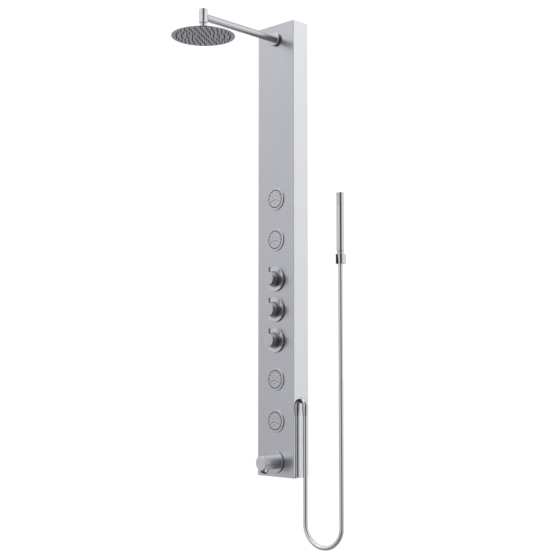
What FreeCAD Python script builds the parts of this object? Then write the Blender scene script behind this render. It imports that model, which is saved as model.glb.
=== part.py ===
import FreeCAD, Part

import math
import os

import Sketcher
from FreeCAD import Placement, Rotation, Vector

# Wall-mounted shower column: a folded sheet panel with a rain head, body jets, three valves,
# a tub spout and a handset on a hose.
# Frame: +Z up, the wall is the plane y = 0, the panel faces -Y and is centred on x = 0.
# The origin is the centre of the upper wall bracket's two screw holes.

# Driving dimensions in millimetres. Every "height" is measured up from the panel's lower edge.
DIMENSIONS = {
    "panel_width": 164,
    "panel_depth": 68,
    "panel_height": 1500,
    "sheet_gauge": 1.5,
    "return_lip": 15,
    "fold_radius": 2,
    "upper_bracket_height": 1380,
    "lower_bracket_height": 100,
    "bracket_width": 130,
    "bracket_hole_spacing": 100,
    "bracket_hole_radius": 3.5,
    "arm_height": 1450,
    "arm_radius": 12,
    "arm_reach": 326,
    "arm_flange_radius": 23,
    "shank_radius": 10.3,
    "shank_depth": 18,
    "water_bore": 7.5,
    "elbow_radius": 14.2,
    "stud_radius": 8,
    "swivel_nut_radius": 15,
    "ball_height": 1417,
    "ball_radius": 8.5,
    "head_radius": 100,
    "head_height": 1387,
    "face_gauge": 1.2,
    "nozzle_pitch": 17,
    "nozzle_radius": 2,
    "nozzle_drop": 4.5,
    "mat_gauge": 0.9,
    "jet_height_top": 910,
    "jet_height_high": 774,
    "jet_height_low": 315,
    "jet_height_bottom": 180,
    "jet_bezel_radius": 38,
    "jet_ball_radius": 31.1,
    "jet_ball_depth": 6,
    "jet_opening_radius": 35,
    "jet_disc_radius": 28.2,
    "jet_disc_rise": 9.4,
    "jet_hole_pitch": 12,
    "jet_hole_radius": 1.6,
    "valve_height_top": 643,
    "valve_height_middle": 542,
    "valve_height_bottom": 442,
    "knob_base_radius": 40,
    "knob_collar_radius": 27,
    "knob_radius": 21,
    "knob_reach": 35,
    "knob_pin_radius": 3.2,
    "knob_pin_length": 27,
    "knob_pin_inset": 6,
    "knob_pin_start": 12,
    "valve_opening_radius": 18,
    "cartridge_radius": 15,
    "spindle_radius": 5,
    "manifold_half_width": 22,
    "manifold_back": 22,
    "manifold_depth": 32,
    "inlet_thread_radius": 10.48,
    "pipe_radius": 6,
    "pipe_bore": 4.5,
    "spout_height": 48,
    "spout_radius": 22.5,
    "spout_reach": 69,
    "spout_flange_radius": 36.5,
    "aerator_radius": 13.2,
    "aerator_length": 17.5,
    "aerator_tilt": 30,
    "aerator_reach": 55.5,
    "aerator_drop": 30,
    "outlet_height": 247,
    "outlet_depth": 34,
    "outlet_reach": 18,
    "outlet_bend": 14,
    "outlet_radius": 9.2,
    "hose_radius": 7.5,
    "hose_start_height": 199,
    "hose_end_height": 680,
    "hose_loop_height": -142,
    "handset_offset": 240,
    "handset_depth": 20,
    "handset_radius": 12.5,
    "handset_foot_height": 716,
    "handset_top_height": 910,
    "clip_height": 682,
    "clip_length": 31,
    "clip_radius": 15.5,
    "clip_bore": 12.6,
    "clip_mouth": 17.2,
}

doc = FreeCAD.newDocument("shower_column")
sheet = doc.addObject("Spreadsheet::Sheet", "dims")
for row, (word, number) in enumerate(DIMENSIONS.items(), start=1):
    sheet.set(f"A{row}", word)
    sheet.set(f"B{row}", str(number))
    sheet.setAlias(f"B{row}", word)
doc.recompute()


class Size:
    """A number that keeps the sheet expression it is worked out from."""

    def __init__(self, text, value):
        self.text = text
        self.value = value

    def __add__(self, other):
        return Size(f"({self.text} + {text_of(other)})", self.value + value_of(other))

    def __sub__(self, other):
        return Size(f"({self.text} - {text_of(other)})", self.value - value_of(other))

    def __mul__(self, other):
        return Size(f"({self.text} * {text_of(other)})", self.value * value_of(other))

    def __truediv__(self, other):
        return Size(f"({self.text} / {text_of(other)})", self.value / value_of(other))

    def __radd__(self, other):
        return Size(f"({text_of(other)} + {self.text})", value_of(other) + self.value)

    def __rsub__(self, other):
        return Size(f"({text_of(other)} - {self.text})", value_of(other) - self.value)

    def __neg__(self):
        return Size(f"(0 - {self.text})", -self.value)


def text_of(number):
    return number.text if isinstance(number, Size) else repr(number)


def value_of(number):
    return number.value if isinstance(number, Size) else number


def dim(word):
    return Size(f"dims.{word}", DIMENSIONS[word])


def height(word):
    """A height above the panel's lower edge, as a Z coordinate."""
    return dim(word) - dim("upper_bracket_height")


def root_of(number):
    return Size(f"sqrt({number.text})", math.sqrt(number.value))


def sphere_edge(radius, rise):
    """The radius of a sphere's section at a rise above its centre."""
    return root_of(radius * radius - rise * rise)


WIDTH = dim("panel_width")
DEPTH = dim("panel_depth")
GAUGE = dim("sheet_gauge")
FRONT = -DEPTH
PANEL_BASE = -dim("upper_bracket_height")
PLAY = 0.1  # radial room of a part pushed into a bore
CHAMFER = 0.8
OUTWARD = Rotation(Vector(1, 0, 0), 90)  # turns local +Z to -Y, out of the panel's front
UPRIGHT = Rotation()
SIDEWAYS = Rotation(Vector(0, 1, 0), 90)  # turns local +Z to +X, out of the panel's side

JETS = ("top", "high", "low", "bottom")
VALVES = ("top", "middle", "bottom")
kept = []


# ---------------------------------------------------------------- building blocks


def bind(target, path, number):
    """Drive one property by its sheet expression."""
    if isinstance(number, Size):
        target.setExpression(path, number.text)


def place(target, at, rotation=UPRIGHT):
    target.Placement = Placement(Vector(*[value_of(number) for number in at]), rotation)
    for letter, number in zip("xyz", at):
        bind(target, f"Placement.Base.{letter}", number)


def keep(target):
    """Count an object as a finished sub-part."""
    kept.append(target)
    return target


def new_body(label, at, rotation=UPRIGHT):
    body = doc.addObject("PartDesign::Body", label)
    body.Label = label
    place(body, at, rotation)
    return body


def new_sketch(body, plane, offset=0):
    """A sketch on one of the body's origin planes, moved along the plane's normal."""
    sketch = body.newObject("Sketcher::SketchObject", f"{body.Name}_sketch")
    support = [item for item in body.Origin.OriginFeatures if item.Role == plane][0]
    sketch.AttachmentSupport = [(support, "")]
    sketch.MapMode = "FlatFace"
    sketch.AttachmentOffset = Placement(Vector(0, 0, value_of(offset)), Rotation())
    bind(sketch, "AttachmentOffset.Base.z", offset)
    return sketch


def fix_point(sketch, geometry, point, u, v):
    """Hold a sketch point at (u, v), with both distances driven by the sheet."""
    for kind, number in (("DistanceX", u), ("DistanceY", v)):
        index = sketch.addConstraint(fixing(kind, geometry, point, value_of(number)))
        bind(sketch, f"Constraints[{index}]", number)


def fixing(kind, geometry, point, value):
    return Sketcher.Constraint(kind, -1, 1, geometry, point, value)


def draw_outline(sketch, corners):
    """A closed outline. A third value in a corner is the height, on the sketch's vertical axis,
    of the centre of the arc that arrives there."""
    flat = [Vector(value_of(corner[0]), value_of(corner[1]), 0) for corner in corners]
    for index, corner in enumerate(corners):
        start, end = flat[index - 1], flat[index]
        if len(corner) == 2:
            sketch.addGeometry(Part.LineSegment(start, end), False)
            continue
        centre = Vector(0, value_of(corner[2]), 0)
        middle = (start - centre) + (end - centre)
        middle.normalize()
        middle = centre + middle * (start - centre).Length
        sketch.addGeometry(Part.Arc(start, middle, end), False)
    last = len(corners) - 1
    for index, corner in enumerate(corners):
        following = 0 if index == last else index + 1
        near = nearest_end(sketch, index, flat[index])
        far = nearest_end(sketch, following, flat[index])
        sketch.addConstraint(Sketcher.Constraint("Coincident", index, near, following, far))
        fix_point(sketch, index, near, corner[0], corner[1])
        if len(corner) == 3:
            sketch.addConstraint(fixing("DistanceX", index, 3, 0))


def nearest_end(sketch, geometry, point):
    ends = (1, 2)
    return min(ends, key=lambda end: (sketch.getPoint(geometry, end) - point).Length)


def draw_circle(sketch, u, v, radius):
    centre = Vector(value_of(u), value_of(v), 0)
    circle = Part.Circle(centre, Vector(0, 0, 1), value_of(radius))
    geometry = sketch.addGeometry(circle, False)
    fix_point(sketch, geometry, 3, u, v)
    index = sketch.addConstraint(Sketcher.Constraint("Radius", geometry, value_of(radius)))
    bind(sketch, f"Constraints[{index}]", radius)


def draw_box(sketch, u_low, v_low, u_high, v_high):
    draw_outline(sketch, [(u_low, v_low), (u_high, v_low), (u_high, v_high), (u_low, v_high)])


def pad(body, sketch, length, both_ways=False):
    feature = body.newObject("PartDesign::Pad", f"{body.Name}_pad")
    feature.Profile = sketch
    feature.Length = value_of(length)
    feature.SideType = "Symmetric" if both_ways else "One side"
    bind(feature, "Length", length)
    return feature


def pocket(body, sketch, depth=None, both_ways=False, reverse=False):
    """Cut a sketch into the body: against the sketch's normal, or along it when reversed."""
    doc.recompute()
    before = body.Shape.Volume
    feature = body.newObject("PartDesign::Pocket", f"{body.Name}_pocket")
    feature.Profile = sketch
    feature.SideType = "Symmetric" if both_ways else "One side"
    feature.Reversed = reverse
    if depth is None:
        feature.Type = "ThroughAll"
    else:
        feature.Length = value_of(depth)
        bind(feature, "Length", depth)
    doc.recompute()
    if body.Shape.Volume > before - 1e-3:
        raise RuntimeError(f"{feature.Name} cuts nothing")
    return feature


def revolve(body, corners, angle=360):
    """Turn an outline of (radius, height) corners about the body's Z axis."""
    sketch = new_sketch(body, "XZ_Plane")
    draw_outline(sketch, corners)
    feature = body.newObject("PartDesign::Revolution", f"{body.Name}_revolution")
    feature.Profile = sketch
    feature.ReferenceAxis = (sketch, ["V_Axis"])
    feature.Angle = angle
    return feature


def turned(label, corners, at, rotation=UPRIGHT):
    """A sub-part turned on a lathe."""
    body = new_body(label, at, rotation)
    revolve(body, corners)
    return body


def drill(body, radius, length, at, rotation=UPRIGHT):
    """Cut a round hole that starts at a point and runs along the rotated Z axis."""
    doc.recompute()
    before = body.Shape.Volume
    hole = body.newObject("PartDesign::SubtractiveCylinder", f"{body.Name}_hole")
    hole.Radius = value_of(radius)
    hole.Height = value_of(length)
    bind(hole, "Radius", radius)
    bind(hole, "Height", length)
    place(hole, at, rotation)
    doc.recompute()
    if body.Shape.Volume > before - 1e-3:
        raise RuntimeError(f"{hole.Name} cuts nothing")


def repeat_round(body, feature, count):
    """Repeat a feature evenly round the body's Z axis."""
    pattern = body.newObject("PartDesign::PolarPattern", f"{body.Name}_ring")
    pattern.Originals = [feature]
    axis = [item for item in body.Origin.OriginFeatures if item.Role == "Z_Axis"][0]
    pattern.Axis = (axis, [""])
    pattern.Angle = 360
    pattern.Occurrences = count
    body.Tip = pattern
    return pattern


def ring_positions(pitch, rings):
    """The radius and the count of each ring in a concentric layout."""
    return [(pitch * ring, 6 * ring) for ring in range(1, rings + 1)]


def group(label, members):
    """Identical pieces that share one node."""
    compound = doc.addObject("Part::Compound", label)
    compound.Label = label
    compound.Links = members
    return keep(compound)


def rounded_path(points, ease):
    """Straight runs joined by tangent arcs. Returns the wire and the arcs' radii."""
    edges, radii = [], []
    start = points[0]
    for before, corner, after in zip(points, points[1:], points[2:]):
        towards, away = before - corner, after - corner
        turn = math.pi - towards.getAngle(away)
        setback = ease * min(towards.Length, away.Length)
        radius = setback / math.tan(turn / 2)
        towards.normalize()
        away.normalize()
        enter, leave = corner + towards * setback, corner + away * setback
        bisector = towards + away
        bisector.normalize()
        reach = radius / math.cos(turn / 2) - radius
        edges.append(Part.LineSegment(start, enter).toShape())
        edges.append(Part.Arc(enter, corner + bisector * reach, leave).toShape())
        radii.append(radius)
        start = leave
    edges.append(Part.LineSegment(start, points[-1]).toShape())
    return Part.Wire(edges), radii


def swept(path, radius, points):
    profile = Part.Wire(Part.Circle(points[0], points[1] - points[0], radius).toShape())
    return path.makePipeShell([profile], True, False)


def tube(label, points, outer, bore=0, ease=0.45):
    """A round tube along straight runs and arcs, hollow where a bore is given."""
    path, radii = rounded_path(points, ease)
    solid = swept(path, outer, points)
    expected = math.pi * outer**2 * path.Length
    if abs(solid.Volume - expected) > 0.01 * expected:
        raise RuntimeError(f"{label}: swept volume {solid.Volume:.0f}, expected {expected:.0f}")
    if bore:
        solid = solid.cut(swept(path, bore, points))
    feature = doc.addObject("Part::Feature", label)
    feature.Label = label
    feature.Shape = solid
    print(f"{label}: length {path.Length:.1f}, arc radii {[round(radius, 1) for radius in radii]}")
    return keep(feature)


# ---------------------------------------------------------------- panel and its wall fixings


def panel_shell():
    body = new_body("panel_shell", (0, 0, PANEL_BASE))
    half, inner = WIDTH / 2, WIDTH / 2 - GAUGE
    lip = WIDTH / 2 - dim("return_lip")
    section = new_sketch(body, "XY_Plane")
    draw_outline(section, [
        (-half, 0), (-half, -DEPTH), (half, -DEPTH), (half, 0), (lip, 0), (lip, -GAUGE),
        (inner, -GAUGE), (inner, GAUGE - DEPTH), (-inner, GAUGE - DEPTH), (-inner, -GAUGE),
        (-lip, -GAUGE), (-lip, 0),
    ])
    pad(body, section, dim("panel_height"))
    for level in (0, dim("panel_height") - GAUGE):
        end = new_sketch(body, "XY_Plane", level)
        draw_box(end, -half, -DEPTH, half, 0)
        pad(body, end, GAUGE)
    doc.recompute()
    fold_edges(body)
    openings = new_sketch(body, "XZ_Plane")
    shank_clearance = dim("shank_radius") + 0.4
    draw_circle(openings, 0, dim("arm_height"), shank_clearance)
    draw_circle(openings, 0, dim("spout_height"), shank_clearance)
    for name in JETS:
        draw_circle(openings, 0, dim(f"jet_height_{name}"), dim("jet_opening_radius"))
    for name in VALVES:
        draw_circle(openings, 0, dim(f"valve_height_{name}"), dim("valve_opening_radius"))
    pocket(body, openings, both_ways=True)
    outlet = new_sketch(body, "YZ_Plane")
    draw_circle(outlet, -dim("outlet_depth"), dim("outlet_height"), shank_clearance)
    pocket(body, outlet, reverse=True)
    return keep(body)


def fold_edges(body):
    """Round the two long front folds."""
    corners = []
    for index, edge in enumerate(body.Shape.Edges, start=1):
        middle = edge.CenterOfMass - body.Placement.Base
        long_enough = edge.Length > value_of(dim("panel_height")) * 0.9
        at_front = abs(middle.y + DEPTH.value) < 0.1
        if long_enough and at_front and abs(abs(middle.x) - WIDTH.value / 2) < 0.1:
            corners.append(f"Edge{index}")
    folded = body.Tip
    fillet = body.newObject("PartDesign::Fillet", "fold")
    fillet.Base = (folded, corners)
    fillet.Radius = DIMENSIONS["fold_radius"]
    bind(fillet, "Radius", dim("fold_radius"))
    doc.recompute()


def wall_bracket(label, level):
    """A strip screwed to the wall, with an upturned lip that the panel hooks over."""
    body = new_body(label, (0, 0, level))
    section = new_sketch(body, "YZ_Plane")
    draw_outline(section, [
        (0, -18), (0, 20), (-12, 20), (-12, 34), (-14, 34), (-14, 18), (-2, 18), (-2, -18),
    ])
    pad(body, section, dim("bracket_width"), both_ways=True)
    holes = new_sketch(body, "XZ_Plane")
    for side in (-1, 1):
        draw_circle(holes, dim("bracket_hole_spacing") * (side * 0.5), 0, dim("bracket_hole_radius"))
    pocket(body, holes, both_ways=True)
    return keep(body)


def hanger_bar(label, level):
    """A hooked bar welded across the inside of the panel."""
    body = new_body(label, (0, 0, level))
    section = new_sketch(body, "YZ_Plane")
    draw_outline(section, [
        (-8, 23), (-8, 40), (-24, 40), (-24, 14), (-22, 14), (-22, 38), (-10, 38), (-10, 23),
    ])
    pad(body, section, WIDTH - GAUGE * 2, both_ways=True)
    return body


def panel_and_fixings():
    panel_shell()
    wall_bracket("upper_wall_bracket", 0)
    wall_bracket("lower_wall_bracket", height("lower_bracket_height"))
    group("hanger_bars", [
        hanger_bar("upper_hanger_bar", 0),
        hanger_bar("lower_hanger_bar", height("lower_bracket_height")),
    ])


# ---------------------------------------------------------------- rain head and its arm


def arm_pieces():
    at = (0, FRONT, height("arm_height"))
    shank, depth, radius = dim("shank_radius"), dim("shank_depth"), dim("arm_radius")
    bore, seat = dim("water_bore"), 10
    end = dim("arm_reach") - seat
    keep(turned("shower_arm", [
        (bore, -depth), (shank, -depth), (shank, 0), (radius, 0), (radius, end), (bore, end),
    ], at, OUTWARD))
    inside, rim = radius + PLAY, dim("arm_flange_radius")
    keep(turned("arm_flange", [
        (inside, 0), (rim, 0), (rim, 6), (rim - 1.5, 8.5), (rim - 4, 9.5), (inside, 9.5),
    ], at, OUTWARD))
    outer, foot, top = dim("elbow_radius"), -19, 24.5
    elbow = turned("arm_elbow", [
        (0, foot), (outer - CHAMFER, foot), (outer, foot + CHAMFER), (outer, top - CHAMFER),
        (outer - CHAMFER, top), (0, top),
    ], (0, FRONT - dim("arm_reach"), height("arm_height")))
    towards_wall = Rotation(Vector(1, 0, 0), -90)
    drill(elbow, inside, 20, (0, seat, 0), towards_wall)
    drill(elbow, bore, 14, (0, 0, 0), towards_wall)
    drill(elbow, dim("stud_radius") + PLAY, 20, (0, 0, foot - 1))
    keep(elbow)


def ball_joint():
    """A ball on a threaded stud, held in the head's socket by a swivel nut over a seal."""
    at = (0, FRONT - dim("arm_reach"), height("ball_height"))
    ball, seat = dim("ball_radius"), dim("ball_radius") + 0.3
    top = dim("arm_height") - dim("ball_height") - 1
    bore, neck, shoulder = 3.5, 5, 14.6
    stud = dim("stud_radius")
    keep(turned("ball_stud", [
        (bore, -sphere_edge(ball, bore)), (neck, sphere_edge(ball, neck), 0),
        (neck, shoulder), (stud, shoulder), (stud, top), (bore, top),
    ], at))
    seal, seal_foot, seal_top = ball + 1.9, -8, -4.6
    keep(turned("ball_seal", [
        (sphere_edge(seat, seal_foot), seal_foot, 0), (sphere_edge(seal, seal_foot), seal_foot),
        (sphere_edge(seal, seal_top), seal_top, 0), (sphere_edge(seat, seal_top), seal_top),
    ], at))
    nut, thread, collar, grip = dim("swivel_nut_radius"), 12, 11, 4.5
    keep(turned("swivel_nut", [
        (8.3, 10.5), (sphere_edge(seat, grip), grip), (seat, 0, 0), (seat, -1.8), (thread, -1.8),
        (thread, -13), (nut, -13), (nut, 2), (collar, 4), (collar, 9.7), (collar - CHAMFER, 10.5),
    ], at))


def rain_head():
    at = (0, FRONT - dim("arm_reach"), height("head_height"))
    rim, face = dim("head_radius"), dim("face_gauge")
    socket = dim("ball_height") - dim("head_height") - 2.5
    cup, crown, inlet = 10.8, 16, 4
    keep(turned("head_top_shell", [
        (cup, socket), (cup, 16), (inlet, 16), (inlet, 11), (crown, 11), (rim - 1.2, 2.6),
        (rim - 1.2, face), (rim, face), (rim, 3), (crown, 14), (cup + 1.1, 15), (cup + 1.1, socket),
    ], at))
    plate = turned("head_face_plate", [
        (0, 0), (rim - 0.3, 0), (rim, 0.3), (rim, face), (0, face),
    ], at)
    mat_rim, mat_top = rim - 4, face + dim("mat_gauge")
    mat = turned("head_nozzle_mat", [(0, face), (mat_rim, face), (mat_rim, mat_top), (0, mat_top)], at)
    nozzle, drop = dim("nozzle_radius"), dim("nozzle_drop")
    layout = [(0, 1)] + ring_positions(dim("nozzle_pitch"), 5)
    for radius, count in layout:
        hole = new_sketch(plate, "XY_Plane")
        draw_circle(hole, radius, 0, nozzle + PLAY)
        cut = pocket(plate, hole, both_ways=True)
        stub = new_sketch(mat, "XY_Plane", -drop)
        draw_circle(stub, radius, 0, nozzle)
        spike = pad(mat, stub, face + drop + 0.5)
        if count > 1:
            repeat_round(plate, cut, count)
            repeat_round(mat, spike, count)
    keep(plate)
    keep(mat)


# ---------------------------------------------------------------- body jets


def jet_pieces(name):
    """One body jet: a ball-shaped nozzle that swivels between a bezel and a sealed housing."""
    at = (0, FRONT, height(f"jet_height_{name}"))
    ball, centre = dim("jet_ball_radius"), -dim("jet_ball_depth")
    seat, front = ball + 0.4, centre + dim("jet_disc_rise")
    disc, inside, shoulder, skirt, floor = dim("jet_disc_radius"), 20.5, 3.5, -20, front - 4
    nozzle = turned(f"jet_nozzle_{name}", [
        (0, front), (disc, front), (disc, centre + shoulder),
        (sphere_edge(ball, shoulder), centre + shoulder),
        (sphere_edge(ball, skirt), centre + skirt, centre), (inside, centre + skirt),
        (inside, floor), (0, floor),
    ], at, OUTWARD)
    for radius, count in ring_positions(dim("jet_hole_pitch"), 2):
        hole = new_sketch(nozzle, "XY_Plane", centre)
        draw_circle(hole, radius, 0, dim("jet_hole_radius"))
        cut = pocket(nozzle, hole, reverse=True)
        repeat_round(nozzle, cut, count)
    keep(nozzle)
    bezel, lip, throat, joint = dim("jet_bezel_radius"), 9, dim("jet_opening_radius") - 0.5, -12
    keep(turned(f"jet_bezel_{name}", [
        (sphere_edge(seat, lip), centre + lip), (seat, centre, centre), (seat, joint),
        (throat, joint), (throat, 0), (bezel, 0), (bezel, 2.2), (bezel - CHAMFER, 3),
    ], at, OUTWARD))
    seal, seal_foot, seal_top, seal_rim = ball + 0.3, centre - 18, centre - 13, 30.6
    keep(turned(f"jet_seal_{name}", [
        (sphere_edge(seal, -18), seal_foot, centre), (seal_rim, seal_foot), (seal_rim, seal_top),
        (sphere_edge(seal, -13), seal_top),
    ], at, OUTWARD))
    wall, well, spigot, back, ledge = seal_rim + 0.3, 26.5, 10.4, -34, seal_foot - 0.3
    housing = turned(f"jet_housing_{name}", [
        (wall, joint), (throat - 0.3, joint), (throat - 0.3, back), (spigot, back), (spigot, back - 10),
        (7, back - 10), (7, back + 3), (well, back + 3), (well, ledge), (wall, ledge),
    ], at, OUTWARD)
    nut_bore, nut_rim, nut_foot = throat + 0.2, 40, -8
    nut = turned(f"jet_lock_nut_{name}", [
        (nut_bore, nut_foot), (nut_rim, nut_foot), (nut_rim, -GAUGE), (nut_bore, -GAUGE),
    ], at, OUTWARD)
    return housing, nut


def body_jets():
    housings, nuts = zip(*[jet_pieces(name) for name in JETS])
    group("jet_housings", list(housings))
    group("jet_lock_nuts", list(nuts))


# ---------------------------------------------------------------- valves and knobs


def valve_pieces(name):
    """One valve: a cartridge in the manifold, with a spindle that carries the knob."""
    at = (0, FRONT, height(f"valve_height_{name}"))
    base, knob, reach = dim("knob_base_radius"), dim("knob_radius"), dim("knob_reach")
    spindle, pin = dim("spindle_radius"), dim("knob_pin_radius")
    base_bore, base_front, collar_rim, collar_front = 17.5, 6, dim("knob_collar_radius"), 9
    keep(turned(f"knob_base_{name}", [
        (base_bore, 0), (base, 0), (base, base_front - 1.4), (base - 1.4, base_front),
        (base_bore, base_front),
    ], at, OUTWARD))
    collar = turned(f"knob_collar_{name}", [
        (8, base_front), (collar_rim, base_front), (collar_rim, collar_front - CHAMFER),
        (collar_rim - CHAMFER, collar_front), (8, collar_front),
    ], at, OUTWARD)
    tip, socket_end, foot = 4, 26, collar_front + 0.6
    handle = turned(f"knob_handle_{name}", [
        (tip + 0.05, foot), (knob - 0.6, foot), (knob, foot + 0.6), (knob, reach - CHAMFER),
        (knob - CHAMFER, reach), (0, reach), (0, socket_end), (tip + 0.05, socket_end),
    ], at, OUTWARD)
    pin_start, pin_length = dim("knob_pin_start"), dim("knob_pin_length")
    pin_place = reach - dim("knob_pin_inset")
    socket = new_sketch(handle, "XZ_Plane", -pin_start)
    draw_circle(socket, 0, pin_place, pin + 0.05)
    pocket(handle, socket)
    keep(handle)
    keep(turned(f"knob_pin_{name}", [
        (0, 0), (pin, 0), (pin, pin_length - CHAMFER), (pin - CHAMFER, pin_length), (0, pin_length),
    ], (0, FRONT - pin_place, height(f"valve_height_{name}") + pin_start)))
    spindle_end = socket_end - 0.2
    keep(turned(f"valve_spindle_{name}", [
        (0, -29.5), (spindle, -29.5), (spindle, -3), (tip, -2), (tip, spindle_end), (0, spindle_end),
    ], at, OUTWARD))
    plug, flange, neck, spindle_bore = dim("cartridge_radius"), 17, 12, spindle + 0.06
    cartridge = turned(f"valve_cartridge_{name}", [
        (0, -40), (plug, -40), (plug, -14), (flange, -14), (flange, -10), (neck, -10), (neck, -4),
        (spindle_bore, -4), (spindle_bore, -30), (0, -30),
    ], at, OUTWARD)
    return collar, cartridge


def valve_manifold():
    """The brass block behind the knobs, bored for the three cartridges."""
    body = new_body("valve_manifold", (0, -dim("manifold_back"), PANEL_BASE))
    half = dim("manifold_half_width")
    foot, head = dim("valve_height_bottom") - 24, dim("valve_height_top") + 24
    block = new_sketch(body, "XZ_Plane")
    draw_box(block, -half, foot, half, head)
    pad(body, block, dim("manifold_depth"))
    bores = new_sketch(body, "XZ_Plane", dim("manifold_depth"))
    for name in VALVES:
        draw_circle(bores, 0, dim(f"valve_height_{name}"), dim("cartridge_radius") + 0.2)
    pocket(body, bores, 26.2)
    return keep(body)


def valves():
    collars, cartridges = zip(*[valve_pieces(name) for name in VALVES])
    group("knob_collars", list(collars))
    group("valve_cartridges", list(cartridges))
    valve_manifold()


# ---------------------------------------------------------------- pipes inside the panel


def point(x, y, level):
    """A point at a height above the panel's lower edge."""
    return Vector(value_of(x), value_of(y), value_of(level) - DIMENSIONS["upper_bracket_height"])


def inlet_union(label, side):
    """An angled union with a half-inch pipe thread that faces the wall."""
    half, across, back = dim("manifold_half_width"), 50, -32
    thread, length = dim("inlet_thread_radius"), 17
    towards_wall = Rotation(Vector(1, 0, 0), -90)
    body = turned(label, [
        (0, -9), (12, -9), (12, 9), (thread, 9), (thread, 9 + length), (7.5, 9 + length),
        (7.5, 0), (0, 0),
    ], (across * side, back, height("valve_height_middle")), towards_wall)
    stem = new_sketch(body, "YZ_Plane")
    draw_circle(stem, 0, 0, 8)
    leg = pad(body, stem, across - half)
    leg.Reversed = side > 0
    doc.recompute()
    drill(body, 5, across - half + 2, (0, 0, 0), Rotation(Vector(0, 1, 0), -90 * side))
    return body


def jet_supply_pipe():
    """A riser with a tee behind each jet and a feed from the manifold's back."""
    lowest, highest = height("jet_height_bottom") - 9, height("jet_height_top") + 9
    body = new_body("jet_supply_pipe", (0, -12, lowest))
    outer = dim("pipe_radius")
    main = new_sketch(body, "XY_Plane")
    draw_circle(main, 0, 0, outer)
    pad(body, main, highest - lowest)
    branches = new_sketch(body, "XZ_Plane")
    for name in JETS:
        draw_circle(branches, 0, height(f"jet_height_{name}") - lowest, 9)
    pad(body, branches, 12)
    feed = new_sketch(body, "XZ_Plane")
    draw_circle(feed, 0, dim("valve_height_middle") + 50 - dim("jet_height_bottom") + 9, 7)
    pad(body, feed, dim("manifold_back") - 12)
    bore = new_sketch(body, "XY_Plane", 3)
    draw_circle(bore, 0, 0, dim("pipe_bore"))
    pocket(body, bore, highest - lowest - 6, reverse=True)
    return keep(body)


def pipes():
    outer, bore = DIMENSIONS["pipe_radius"], DIMENSIONS["pipe_bore"]
    side, across, back = -DIMENSIONS["manifold_half_width"], -52, -32
    shank_end = DIMENSIONS["shank_depth"] - DIMENSIONS["panel_depth"]
    feeds = (
        ("riser_pipe", DIMENSIONS["valve_height_top"], DIMENSIONS["arm_height"]),
        ("spout_pipe", DIMENSIONS["valve_height_bottom"], DIMENSIONS["spout_height"]),
    )
    for label, start, end in feeds:
        tube(label, [
            point(side, back, start), point(across, back, start), point(across, back, end),
            point(0, back, end), point(0, shank_end, end),
        ], outer, bore)
    start, end, back = DIMENSIONS["valve_height_bottom"], DIMENSIONS["outlet_height"], -34
    tube("handset_pipe", [
        point(-side, back, start), point(48, back, start), point(48, back, end), point(64, back, end),
    ], outer, bore)
    jet_supply_pipe()
    group("inlet_unions", [inlet_union("hot_inlet_union", -1), inlet_union("cold_inlet_union", 1)])


def lock_nuts():
    """The pipe nuts that clamp the arm, the spout and the side outlet to the sheet."""
    corners = [
        (dim("shank_radius") + 0.1, -GAUGE - 6), (16, -GAUGE - 6), (16, -GAUGE),
        (dim("shank_radius") + 0.1, -GAUGE),
    ]
    group("shank_lock_nuts", [
        turned("arm_lock_nut", corners, (0, FRONT, height("arm_height")), OUTWARD),
        turned("spout_lock_nut", corners, (0, FRONT, height("spout_height")), OUTWARD),
        turned("outlet_lock_nut", corners,
               (WIDTH / 2, -dim("outlet_depth"), height("outlet_height")), SIDEWAYS),
    ])


# ---------------------------------------------------------------- tub spout


def spout():
    at = (0, FRONT, height("spout_height"))
    radius, reach, shank = dim("spout_radius"), dim("spout_reach"), dim("shank_radius")
    flange = dim("spout_flange_radius")
    keep(turned("spout_flange", [
        (shank + 0.2, 0), (flange, 0), (flange, 3.6), (flange - 1.4, 5), (shank + 0.2, 5),
    ], at, OUTWARD))
    bore, depth = dim("water_bore"), dim("shank_depth")
    body = turned("spout_body", [
        (bore, -depth), (shank, -depth), (shank, 5), (radius, 5), (radius, reach - CHAMFER),
        (radius - CHAMFER, reach), (0, reach), (0, 52), (bore, 48),
    ], at, OUTWARD)
    # The outlet leans forward from straight down. In the spout's own axes Z runs out of the
    # panel and -Y is down.
    tilt = math.radians(DIMENSIONS["aerator_tilt"])
    down = Vector(0, -math.cos(tilt), math.sin(tilt))
    mouth = Vector(0, -DIMENSIONS["aerator_drop"], DIMENSIONS["aerator_reach"])
    upwards = Rotation(Vector(0, 0, 1), down * -1)
    outer, length = dim("aerator_radius"), dim("aerator_length")
    drill(body, outer + PLAY, length + 0.5, tuple(mouth), upwards)
    drill(body, 5, 30, tuple(mouth), upwards)
    keep(body)
    aerator = new_body("spout_aerator", (0, 0, 0))
    revolve(aerator, [
        (0, length), (outer, length), (outer, CHAMFER), (outer - CHAMFER, 0), (outer - 2.2, 0),
        (outer - 2.2, 3), (0, 3),
    ])
    world = OUTWARD.multVec(mouth) + Vector(*[value_of(number) for number in at])
    aerator.Placement = Placement(world, OUTWARD.multiply(upwards))
    for radius_of_ring, count in ring_positions(2.4, 3):
        hole = new_sketch(aerator, "XY_Plane")
        draw_circle(hole, radius_of_ring, 0, 0.7)
        repeat_round(aerator, pocket(aerator, hole, reverse=True), count)
    keep(aerator)


# ---------------------------------------------------------------- hose, handset and wall clip


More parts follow.
